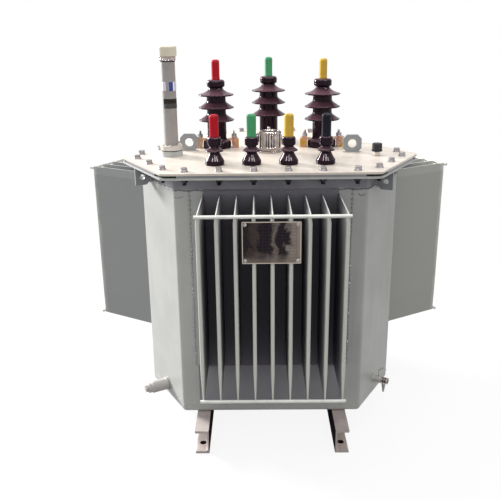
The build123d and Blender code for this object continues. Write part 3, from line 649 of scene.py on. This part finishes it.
lvBushing = {
    "row": -235.0,
    "first": -166.5,
    "step": 111.0,
    "sleeves": ("sleeve_red", "sleeve_green", "sleeve_yellow", "sleeve_black"),
    "boot": (14.6, 83, 150),
    "lean": 0.4,
    "leanStep": 0.3,
}
lvRows = [(25, 0), (28.3, 0.2, 1.5), (29, 3, 2), (29, 12.5, 2.5), (26.6, 16.5, 3), (23, 22.5, 5)]
lvRows += [(19.4, 29, 4), (16.8, 34, 3), (14.5, 37.6, 2), (19, 38.8, 2), (26.4, 40.6, 1), (27.3, 42, 1.2)]
lvRows += [(26.2, 44, 1.2), (21.5, 47.5, 3), (16.5, 51, 4), (14.5, 54, 2), (14.8, 56.8, 1)]
lvRows += [(19.2, 57.4, 1.5), (20.5, 60, 2), (20.5, 78, 3), (18, 82.4, 2), (15, 83), (8, 83)]
lvModel = turnedPiece("lv_model", lvRows, 48)
lvPlaces = [lvBushing["first"] + lvBushing["step"] * place for place in range(4)]
lvSpots = [(mm(x), mm(lvBushing["row"]), coverTop) for x in lvPlaces]
for number, spot in enumerate(lvSpots, 1):
    body = copyPiece(lvModel, f"lv_bushing_{number}", spot)
    finishPiece(body, "porcelain", porcelain, f"lv_porcelain_{number}")
bpy.data.objects.remove(lvModel)
print("porcelain turned")

reliefValve = {"x": 4.0, "y": -27.0}
reliefRows = [(30, 0), (36.8, 0, 0.5), (37.5, 1, 0.6), (37.5, 5.4, 0.8), (33.5, 6.2, 0.6)]
reliefRows += [(32.2, 6.8, 0.5), (32.2, 8.8, 0.5), (35.2, 9.2, 0.6), (35.2, 11.8, 0.3)]
reliefRows += [(36.6, 12.2, 0.8), (36.7, 17.4, 0.8), (35.2, 18.2, 0.4), (35.2, 58.6, 0.4)]
reliefRows += [(33.9, 59.2, 0.3), (33.9, 60.4, 0.3), (36.4, 60.8, 0.5), (37.2, 62, 0.8)]
reliefRows += [(37.2, 65.6, 1.2), (34.4, 69, 2), (30.6, 69.5, 0.8), (29.2, 68.8, 0.6)]
reliefRows += [(28.8, 66.8, 0.5), (14, 66.6, 1), (11, 67.6, 0.8), (4, 67.8)]
relief = turnedPiece("relief_valve_body", reliefRows, 72)
settle(relief, (mm(reliefValve["x"]), mm(reliefValve["y"]), coverTop))
finishPiece(relief, "relief_chrome", brightSteel, "relief_valve")


def sleeveShape(name, boot, lean):
    # a boot shrunk over a threaded terminal: slightly fuller at the foot, its rounded
    # top pinched to one side by the clamp inside it
    radius, low, high = boot
    rows = [(radius - 3, low), (radius, low, 0.6), (radius, low + 3, 1), (radius - 0.5, low + 8, 3)]
    rows += [(radius - 0.6, (low + high) / 2, 6), (radius - 0.4, high - 12, 6), (radius - 0.6, high - 6, 3)]
    rows += [(radius - 2.4, high - 2.4, 2), (radius - 5.5, high - 0.7, 2), (4, high, 1), (1, high)]
    obj = turnedPiece(name, rows, 40)
    editStart(obj)
    selectFaces(obj, lambda centre, normal: centre.z > low + 8)
    bpy.ops.transform.resize(value=(1.0, 0.965, 1.0), center_override=(0, 0, 0))
    selectFaces(obj, lambda centre, normal: centre.z > high - 4)
    bpy.ops.transform.translate(value=(mm(lean), 0, 0))
    editEnd()
    return obj


for side, (x, y) in hvBushing["spots"].items():
    sleeve = sleeveShape(f"hv_boot_{side}", hvBushing["boot"], hvBushing["leans"][side])
    settle(sleeve, (mm(x), mm(y), coverTop))
    slotName = hvBushing["sleeves"][side]
    finishPiece(sleeve, slotName, sleeveMaterials[slotName], f"hv_sleeve_{side}")
for place, (spot, slotName) in enumerate(zip(lvSpots, lvBushing["sleeves"])):
    lean = lvBushing["lean"] - lvBushing["leanStep"] * place
    sleeve = sleeveShape(f"lv_boot_{place + 1}", lvBushing["boot"], lean)
    settle(sleeve, spot)
    finishPiece(sleeve, slotName, sleeveMaterials[slotName], f"lv_sleeve_{place + 1}")
print("sleeves fitted")


def thread(name, radius, low, high, pitch=1.5):
    # threaded end, with the crests drawn 1.5 mm apart so that they show
    rows = [(radius - 1.2, low), (radius, low + 0.8)]
    height = low + 0.8
    while height < high - 2.2:
        rows += [(radius - 0.55, height + pitch / 2), (radius, height + pitch)]
        height += pitch
    rows += [(radius - 0.9, high), (radius - 1.5, high)]
    return turnedPiece(name, rows, 20)


coverBolt = {
    "reach": 21.5,
    "longPlaces": (-250, -150, -50, 50, 150, 250),
    "shortPlaces": (-100, 0, 100),
    "mostTurn": 1.05,
    "across": 18,
}
washerRows = [(6, 0), (12.2, 0, 0.3), (12.4, 1.2, 0.4), (12, 2.3, 0.4), (6, 2.4)]
springRows = [(5, 2.4), (9.8, 2.4, 0.3), (10, 4, 0.4), (9.6, 4.8, 0.3), (5, 4.8)]
lowRows = [(6, -21.4), (12, -21.4, 0.3), (12.4, -20.2, 0.4), (12.2, -19, 0.3), (6, -19)]
boltHead = joinPieces(
    "cover_bolt_head",
    turnedPiece("washer", washerRows, 28),
    turnedPiece("springWasher", springRows, 24),
    hexagon("head", coverBolt["across"], 4.8, 11.6),
)
boltFoot = joinPieces(
    "cover_bolt_foot",
    turnedPiece("lowWasher", lowRows, 28),
    hexagon("nut", coverBolt["across"], -30.5, -21.6),
    thread("boltEnd", 6, -40, -29),
)
places = [(b, longReach, along) for b in plan["longBearings"] for along in coverBolt["longPlaces"]]
places += [(b, shortReach, along) for b in plan["shortBearings"] for along in coverBolt["shortPlaces"]]
chance = random.Random(7)
for number, (bearing, reach, along) in enumerate(places, 1):
    spot = wallSpot(bearing, reach + coverBolt["reach"], along, 0)
    spot.z = coverTop
    turn = (0, 0, chance.uniform(0, coverBolt["mostTurn"]))
    finishPiece(copyPiece(boltHead, f"cover_bolt_{number:02d}", spot, turn), "valve_steel", boltZinc)
    finishPiece(copyPiece(boltFoot, f"cover_nut_{number:02d}", spot, turn), "valve_steel", boltEndShade)
bpy.data.objects.remove(boltHead)
bpy.data.objects.remove(boltFoot)

clawStud = {"reach": 58.0, "turn": 0.4, "across": 16}
studRows = [(4.8, 36.6), (9.6, 36.6, 0.3), (9.8, 37.7, 0.3), (9.4, 38.5, 0.3), (4.8, 38.5)]
studModel = joinPieces(
    "stud_model",
    thread("stud", 4.8, 0.2, 57),
    turnedPiece("studWasher", studRows, 24),
    hexagon("studNut", clawStud["across"], 38.5, 46, 1.0),
)
for side, (x, y) in hvBushing["spots"].items():
    for end, letter in ((-1, "a"), (1, "b")):
        reach = clawStud["reach"] * end
        shift = (0, reach) if side == "middle" else (reach, 0)
        spot = (mm(x + shift[0]), mm(y + shift[1]), coverTop)
        stud = copyPiece(studModel, f"claw_stud_{side}_{letter}", spot, (0, 0, clawStud["turn"] * end))
        finishPiece(stud, "valve_steel", boltZinc)
bpy.data.objects.remove(studModel)
print("fasteners placed")

gaugeSpot = Vector((mm(gauge["x"]), mm(gauge["y"]), coverTop))
screwModel = turnedPiece("screw", [(3, 0), (4.4, 0, 0.4), (4.4, 2.2, 0.8), (3, 3.2, 0.6), (1.5, 3.3)], 20)
editStart(screwModel)
selectFaces(screwModel, lambda centre, normal: normal.z > 0.9 and centre.xy.length < 1.5)
bpy.ops.mesh.inset(thickness=mm(0.3))
bpy.ops.transform.translate(value=(0, 0, mm(-0.8)))
editEnd()
for number in range(gauge["screws"]):
    turn = math.radians(30 + 60 * number)
    shift = Vector((math.cos(turn), math.sin(turn), 0)) * mm(gauge["screwCircle"])
    spot = gaugeSpot + shift + Vector((0, 0, mm(gauge["flangeTop"])))
    screw = copyPiece(screwModel, f"gauge_screw_{number + 1}", spot, (0, 0, turn))
    finishPiece(screw, "gauge_cap_paint", capEnamel)
bpy.data.objects.remove(screwModel)


def fromFront(centre):
    # degrees round the tube from its front
    return math.degrees(math.atan2(centre.x, -centre.y))


# every third face of the ring is sunk, for a grip
ringRows = [(22.6, 296), (24.7, 296.2, 0.4), (25.1, 298, 0.6)]
ringRows += [(25.1, 307, 0.8), (24.4, 308.8, 0.4), (22.6, 309)]
topRing = turnedPiece("gauge_top_ring", ringRows, 60)
editStart(topRing)
selectFaces(
    topRing,
    lambda centre, normal: abs(normal.z) < 0.2
    and int(math.degrees(math.atan2(centre.y, centre.x)) / 6) % 3 == 0,
)
bpy.ops.mesh.inset(thickness=mm(0.35), use_individual=True)
bpy.ops.transform.shrink_fatten(value=mm(-0.5))
editEnd()
settle(topRing, gaugeSpot)
finishPiece(topRing, "relief_chrome", brightSteel)

sightRows = [(22.4, 171.5), (24, 171.5, 0.4), (24.3, 172.6, 0.4)]
sightRows += [(24.3, 197.6, 0.4), (24, 198.6, 0.4), (22.4, 198.6)]
sightRing = turnedPiece("gauge_sight_ring", sightRows, gauge["sides"])
editStart(sightRing)
selectFaces(
    sightRing,
    lambda centre, normal: abs(fromFront(centre)) > gauge["windowHalfAngle"] or centre.xy.length < 22.45,
)
bpy.ops.mesh.delete(type="FACE")
editEnd()
sightRing.modifiers.new("wall", "SOLIDIFY").thickness = mm(1.2)
pick(sightRing)
bpy.ops.object.modifier_apply(modifier="wall")
settle(sightRing, gaugeSpot + Vector((0, 0, mm(gauge["flangeTop"]))))
finishPiece(sightRing, "gauge_glass", sightWindow, "gauge_window")

sealRows = [(22, 292.4), (22.9, 292.6, 0.3), (23.6, 294, 0.6), (22.9, 295.6, 0.3), (22, 295.8)]
sealRing = turnedPiece("gauge_seal_ring", sealRows, 48)
settle(sealRing, gaugeSpot)
finishPiece(sealRing, "gasket_rubber", gasketRubber)

# the label is a bent plate with a raised border
gaugeLabel = {"low": 152.0, "high": 181.0, "middle": 26.0, "halfAngle": 70.0, "inner": 22.25, "outer": 23.0}
low, high, inner, outer = (gaugeLabel[key] for key in ("low", "high", "inner", "outer"))
label = turnedPiece("gauge_label", [(inner, low), (outer, low, 0.2), (outer, high, 0.2), (inner, high)], 72)
editStart(label)
selectFaces(
    label,
    lambda centre, normal: abs(fromFront(centre) - gaugeLabel["middle"]) > gaugeLabel["halfAngle"]
    or centre.xy.length < 5,
)
bpy.ops.mesh.delete(type="FACE")
selectFaces(label, lambda centre, normal: abs(normal.z) < 0.3)
bpy.ops.mesh.inset(thickness=mm(1.4))
bpy.ops.transform.shrink_fatten(value=mm(-0.25))
bpy.ops.mesh.select_all(action="SELECT")
bpy.ops.mesh.normals_make_consistent(inside=False)
editEnd()
settle(label, gaugeSpot)
finishPiece(label, "black_plastic", labelBlack)
print("gauge dressed")


def outward(bearing):
    # the turn that points a piece made along Z out of the wall with this bearing
    return (math.radians(90), 0, math.radians(bearing))


drain = {"bearing": 300, "height": 124.0, "plugAcross": 22.0}
drainRows = [(18, 0), (23.6, 0, 0.6), (24, 1, 0.6), (23.6, 2.8, 0.6), (18.4, 3.2, 0.3), (18, 4.9, 0.3)]
drainRows += [(22, 5.1, 0.6), (22.5, 6.4, 0.6), (22, 7.8, 0.6), (20, 8.6, 0.6), (19.7, 57.6, 1.6)]
drainRows += [(17, 59.4, 0.8), (16.5, 60.6, 0.6), (16.5, 70.6, 1.4), (12.8, 72.4, 0.6), (11.6, 74, 0.4)]
drainBody = turnedPiece("drainBody", drainRows + [(6, 74)], 48)
drainPipe = joinPieces("drain_pipe", drainBody, hexagon("drainPlug", drain["plugAcross"], 73, 81, 1.6))
drainSpot = wallSpot(drain["bearing"], shortReach, 0, drain["height"])
settle(drainPipe, drainSpot, outward(drain["bearing"]))
finishPiece(drainPipe, "tank_paint", drainPaint, "drain_stub")

valve = {"bearing": 60, "height": 138.0, "spoutOut": 36.2}
valveNut = {"start": 30.0, "step": 7.5, "across": 21.6, "thick": 4.6}
valveSpot = wallSpot(valve["bearing"], shortReach, 0, valve["height"])
pipeRows = [(12, 0), (14.6, 0, 0.5), (15, 1, 0.6), (14.4, 2.6, 1)]
pipeRows += [(12.2, 3.4, 0.8), (12, 29.4, 0.8), (9, 30.2)]
valvePipe = turnedPiece("valve_pipe", pipeRows, 40)
settle(valvePipe, valveSpot, outward(valve["bearing"]))
finishPiece(valvePipe, "tank_paint", drainPaint, "sample_valve")
spindle = turnedPiece("valve_spindle", [(6, 29), (9.4, 29.4, 0.3), (9.4, 50.4, 0.6), (6, 50.8)], 32)
settle(spindle, valveSpot, outward(valve["bearing"]))
finishPiece(spindle, "valve_steel", spindleShade)
nutParts = []
for step in range(3):
    low = valveNut["start"] + step * valveNut["step"]
    nutParts.append(hexagon(f"valveNut{step}", valveNut["across"], low, low + valveNut["thick"], 1.1))
valveNuts = joinPieces("valve_nuts", *nutParts)
settle(valveNuts, valveSpot, outward(valve["bearing"]))
finishPiece(valveNuts, "relief_chrome", brightSteel)
spoutRows = [(1.2, -43), (2.5, -43, 0.4), (3, -40.5, 1), (5.3, -24, 4), (6.6, -14, 2)]
spoutRows += [(7, -9, 1), (7, -1, 1), (5, 0)]
spout = turnedPiece("valve_spout", spoutRows, 28)
settle(spout, wallSpot(valve["bearing"], shortReach + valve["spoutOut"], 0, valve["height"]))
finishPiece(spout, "valve_steel", valveSteel)
print("drain and sample valve made")

plateLow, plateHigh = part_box("nameplate")
screwRows = [(4, 0), (5, 0, 0.3), (5, 0.7, 0.3), (4.1, 1, 0.3), (3.8, 2.2, 0.8), (2, 2.7), (1.4, 2.7)]
plateScrew = turnedPiece("plate_screw", screwRows, 24)
inFromEdge = mm(plateTable["screwIn"])
corners = [(x, z) for z in (plateLow.z + inFromEdge, plateHigh.z - inFromEdge)
           for x in (plateLow.x + inFromEdge, plateHigh.x - inFromEdge)]
for number, (x, z) in enumerate(corners, 1):
    screw = copyPiece(plateScrew, f"nameplate_screw_{number}", (x, plateLow.y, z), (math.radians(90), 0, 0))
    finishPiece(screw, "valve_steel", boltZinc)
bpy.data.objects.remove(plateScrew)

weld = {
    # radius, ripple and ripple pitch of each bead
    "rim": (2.3, 0.5, 5),
    "panel": (2.8, 1.5, 7),
    "band": (1.9, 0.9, 5),
    "foot": (1.6, 0.5, 4.5),
    "pan": (1.7, 0.4, 5),
    "tankLug": (2.2, 0.4, 4),
    "gaugeSeat": (1.8, 0.4, 4),
    "pocket": (1.5, 0.4, 4),
    "coverLug": (1.3, 0.4, 3),
    "run": (1.0, 0.3, 3),
    "coverRun": (0.6, 0.3, 4),
    # where the lines lie, in mm
    "rimHeight": 821.0,
    "rimWave": (50.0, 1.2),
    "panelEdge": 240.0,
    "panelSpan": (251, 819),
    "bandEdge": 232.0,
    "bandSpan": (110, 250),
    "footEdge": 236.0,
    "footHeight": 248.0,
    "lugAlong": -55.0,
    "lugSides": (-4.2, 4.2),
    "lugLine": ((0.5, 812), (0.5, 860), (48, 861.5)),
}
onTank, onSeam = ("tank_paint", weldPaint), ("tank_paint", seamPaint)
onCover = ("fitting_paint", fittingPaint)


def weldBead(name, points, size, seed, finish, closed=False):
    # a line through the points (metres) drawn as a rippled bead; each ripple swells and shifts a little
    radius, ripple, pitch = size
    chance = random.Random(seed)
    line = bpy.data.curves.new(name, "CURVE")
    line.dimensions = "3D"
    line.bevel_depth = mm(radius)
    line.bevel_resolution = 2
    line.use_fill_caps = True
    spots = []
    pairs = list(zip(points, points[1:])) + ([(points[-1], points[0])] if closed else [])
    for start, end in pairs:
        count = max(1, round((end - start).length / mm(pitch)))
        spots += [start.lerp(end, step / count) for step in range(count)]
    if not closed:
        spots.append(points[-1])
    spline = line.splines.new("POLY")
    spline.points.add(len(spots) - 1)
    for index, spot in enumerate(spots):
        drift = Vector((chance.uniform(-1, 1), chance.uniform(-1, 1), chance.uniform(-1, 1)))
        spline.points[index].co = (*(spot + drift * mm(radius * 0.18)), 1)
        swell = 1 + ripple * (0.5 if index % 2 else -0.5) + chance.uniform(-0.15, 0.15)
        spline.points[index].radius = swell
    spline.use_cyclic_u = closed
    bead = bpy.data.objects.new(name, line)
    bpy.context.collection.objects.link(bead)
    pick(bead)
    bpy.ops.object.convert(target="MESH")
    bead = bpy.context.object
    smooth(bead, 60)
    finishPiece(bead, *finish)


def planCorners(reach, height):
    half = plan["longWall"] / 2 + reach * math.tan(math.radians(30))
    return [
        wallSpot(bearing, longReach + reach, end * half, height)
        for bearing in plan["longBearings"]
        for end in (-1, 1)
    ]


def waved(points, pitch, height):
    # the same closed line with the sag of each hand-held run added
    spots, walked = [], 0.0
    for start, end in zip(points, points[1:] + points[:1]):
        count = max(1, round((end - start).length / mm(12)))
        for step in range(count):
            spot = start.lerp(end, step / count)
            spot.z += mm(height) * math.sin(2 * math.pi * walked / mm(pitch))
            walked += (end - start).length / count
            spots.append(spot)
    return spots


def ringLine(spot, radius):
    turns = [math.radians(15 * step) for step in range(24)]
    return [Vector(spot) + Vector((math.cos(a), math.sin(a), 0)) * mm(radius) for a in turns]


rimLine = waved(planCorners(0.2, weld["rimHeight"]), *weld["rimWave"])
weldBead("weld_rim", rimLine, weld["rim"], 3, onSeam, True)
for bearing in plan["longBearings"]:
    for end in (-1, 1):
        line = [wallSpot(bearing, longReach, end * weld["panelEdge"], z) for z in weld["panelSpan"]]
        weldBead(f"weld_panel_{bearing}_{end + 1}", line, weld["panel"], 11 + bearing + end, onTank)
        line = [wallSpot(bearing, longReach - 1.2, end * weld["bandEdge"], z) for z in weld["bandSpan"]]
        weldBead(f"weld_band_{bearing}_{end + 1}", line, weld["band"], 21 + bearing + end, onTank)
    ends = (-weld["footEdge"], weld["footEdge"])
    line = [wallSpot(bearing, longReach - 0.8, end, weld["footHeight"]) for end in ends]
    weldBead(f"weld_foot_{bearing}", line, weld["foot"], 31 + bearing, onSeam)
weldBead("weld_pan", planCorners(-1.2, plan["panTop"]), weld["pan"], 5, onTank, True)
for bearing in plan["shortBearings"]:
    for side in weld["lugSides"]:
        along = weld["lugAlong"] + side
        line = [wallSpot(bearing, shortReach + out, along, z) for out, z in weld["lugLine"]]
        weldBead(f"weld_lug_{bearing}_{int(side)}", line, weld["tankLug"], 41 + bearing, onTank)

# paint that ran and set below the rim weld, and one run on the cover
runs = {
    "left": [(-283, 802), (-276, 799), (-266, 799.5), (-258, 803)],
    "right": [(256, 808), (262, 802), (270, 801), (277, 806)],
    "cover": [(225, -131), (242, -139), (258, -145)],
}
for side in ("left", "right"):
    line = [wallSpot(0, longReach + 0.3, along, height) for along, height in runs[side]]
    weldBead(f"paint_run_{side}", line, weld["run"], 71, onSeam)
line = [Vector((mm(x), mm(y), coverTop)) for x, y in runs["cover"]]
weldBead("paint_run_cover", line, weld["coverRun"], 72, onSeam)

pocket = {"x": 340, "y": -115, "weldRadius": 11}
pocketSpot = (mm(pocket["x"]), mm(pocket["y"]), coverTop)
weldBead("weld_gauge_seat", ringLine(gaugeSpot, gauge["seatWeld"]), weld["gaugeSeat"], 51, onCover, True)
weldBead("weld_pocket", ringLine(pocketSpot, pocket["weldRadius"]), weld["pocket"], 52, onCover, True)
coverLugs = {"left": (-264.5, 6.0), "right": (270.0, -49.5), "halfWidth": 29, "halfWeld": 5.2}
for side in ("left", "right"):
    x, y = coverLugs[side]
    for face, letter in ((-1, "f"), (1, "b")):
        lineY = mm(y + face * coverLugs["halfWeld"])
        ends = (x - coverLugs["halfWidth"], x + coverLugs["halfWidth"])
        line = [Vector((mm(end), lineY, coverTop + mm(0.5))) for end in ends]
        weldBead(f"weld_cover_lug_{side}_{letter}", line, weld["coverLug"], 61, onCover)
print("welds laid")

studio = {
    "worldLight": 0.85,
    "keyPower": 545.0,
    "keyPlace": (-4.05, 2.6, 2.3),
    "keySize": 1.6,
    "topPower": 60.0,
    "topPlace": (-0.2, 0.1, 4.2),
    "topSize": 2.6,
    "cardBearings": (-40, 5, 40, 75),
    "cardReach": 2.0,
    "cardHeight": 3.16,
    "cardSize": 0.42,
    "cardPower": 34.0,
    "aimHeight": 0.6,
    "floorRadius": 9,
    "floorMix": 0.9,
    "shadowNear": 0.9,
    "shadowFar": 2.4,
}


def seenDirectly(add):
    # 1 for the rays that the camera sees straight, in a gloss or through glass, else 0
    rays = add("LightPath")
    glossy = {0: (rays, "Is Camera Ray"), 1: (rays, "Is Glossy Ray")}
    cameraOrGlossy = add("Math", glossy, operation="MAXIMUM")
    return add("Math", {0: cameraOrGlossy, 1: (rays, "Is Transmission Ray")}, operation="MAXIMUM")


world = bpy.data.worlds.new("paleRoom")
bpy.context.scene.world = world
world.use_nodes = True
world.node_tree.nodes.clear()
add = partial(addNode, world.node_tree)
strengthLinks = {"Value": seenDirectly(add), "To Min": studio["worldLight"], "To Max": 1.0}
strength = add("MapRange", strengthLinks)
sky = add("Background", {"Color": (1, 1, 1, 1), "Strength": strength})
add("OutputWorld", {"Surface": sky})

# pale floor: near the object it takes the shadow, and further out it turns to plain white
pick()
bpy.ops.mesh.primitive_circle_add(
    vertices=96, radius=studio["floorRadius"], fill_type="NGON", location=(0, 0, mm(-0.5))
)
floor = bpy.context.object
floor.name = "floor"
floorMaterial, add, place = startMaterial("pale_floor")
away = (add("VectorMath", {0: place}, operation="LENGTH"), "Value")
span = {"From Min": studio["shadowNear"], "From Max": studio["shadowFar"], "To Min": studio["floorMix"]}
fade = add("MapRange", {"Value": away} | span)
shown = seenDirectly(add)
glowShare = add("Math", {0: fade, 1: shown}, operation="MULTIPLY")
# painted shade: under the feet's holes the floor is near black and takes none of the glow
holeEdge = mm(feet["holeRadius"] + 3)
clear = add("Math", {0: fromFootHole(add, place), 1: holeEdge}, operation="GREATER_THAN")
glowShare = add("Math", {0: glowShare, 1: clear}, operation="MULTIPLY")
grain = add("TexNoise", {"Vector": place, "Scale": 30.0})
tone = add("ValToRGB", {"Fac": grain}, ((0.3, "#EDEDED"), (0.7, "#F4F4F4")))
dim = add("MixRGB", {"Fac": shown, "Color1": "#6C6C6C", "Color2": tone})
shaded = add("MixRGB", {"Fac": clear, "Color1": "#141217", "Color2": dim})
matt = add("BsdfDiffuse", {"Color": shaded})
glow = add("Emission", {"Color": (1, 1, 1, 1), "Strength": 1.0})
mixed = add("MixShader", {0: glowShare, 1: matt, 2: glow})
add("OutputMaterial", {"Surface": mixed})
floor.data.materials.append(floorMaterial)


def softLamp(name, spot, power, size):
    lamp = bpy.data.lights.new(name, "AREA")
    lamp.shape = "DISK"
    lamp.size = size
    lamp.energy = power
    obj = bpy.data.objects.new(name, lamp)
    bpy.context.collection.objects.link(obj)
    obj.location = spot
    aim = Vector((0, 0, studio["aimHeight"])) - Vector(spot)
    obj.rotation_euler = aim.to_track_quat("-Z", "Y").to_euler()
    return obj


softLamp("key", studio["keyPlace"], studio["keyPower"], studio["keySize"])
softLamp("top", studio["topPlace"], studio["topPower"], studio["topSize"])
# four cards above the camera that only show as glints in glaze and on edges
for number, bearing in enumerate(studio["cardBearings"], 1):
    turn = math.radians(bearing)
    reach = studio["cardReach"]
    spot = (math.sin(turn) * reach, mm(lvBushing["row"]) - math.cos(turn) * reach, studio["cardHeight"])
    card = softLamp(f"glint_card_{number}", spot, studio["cardPower"], studio["cardSize"])
    card.data.shape = "SQUARE"
    card.visible_diffuse = False

camera = {
    "place": (-0.04075, -2.2738, 1.2872),
    "yaw": -0.0114,
    "pitch": 0.3209,
    "roll": -0.0125,
    "lens": 49.35,
    "sensor": 36,
}
yaw, pitch, roll = camera["yaw"], camera["pitch"], camera["roll"]
forward = Vector((math.sin(yaw) * math.cos(pitch), math.cos(yaw) * math.cos(pitch), -math.sin(pitch)))
level = Vector((math.cos(yaw), -math.sin(yaw), 0))
upright = level.cross(forward)
right = math.cos(roll) * level + math.sin(roll) * upright
up = -math.sin(roll) * level + math.cos(roll) * upright
view = bpy.data.cameras.new("photoView")
view.sensor_width = camera["sensor"]
view.lens = camera["lens"]
viewer = bpy.data.objects.new("photoView", view)
bpy.context.collection.objects.link(viewer)
turned = Matrix((right, up, -forward)).transposed().to_4x4()
viewer.matrix_world = Matrix.Translation(camera["place"]) @ turned
bpy.context.scene.camera = viewer
bpy.context.scene.view_settings.view_transform = "Standard"
print("studio set")
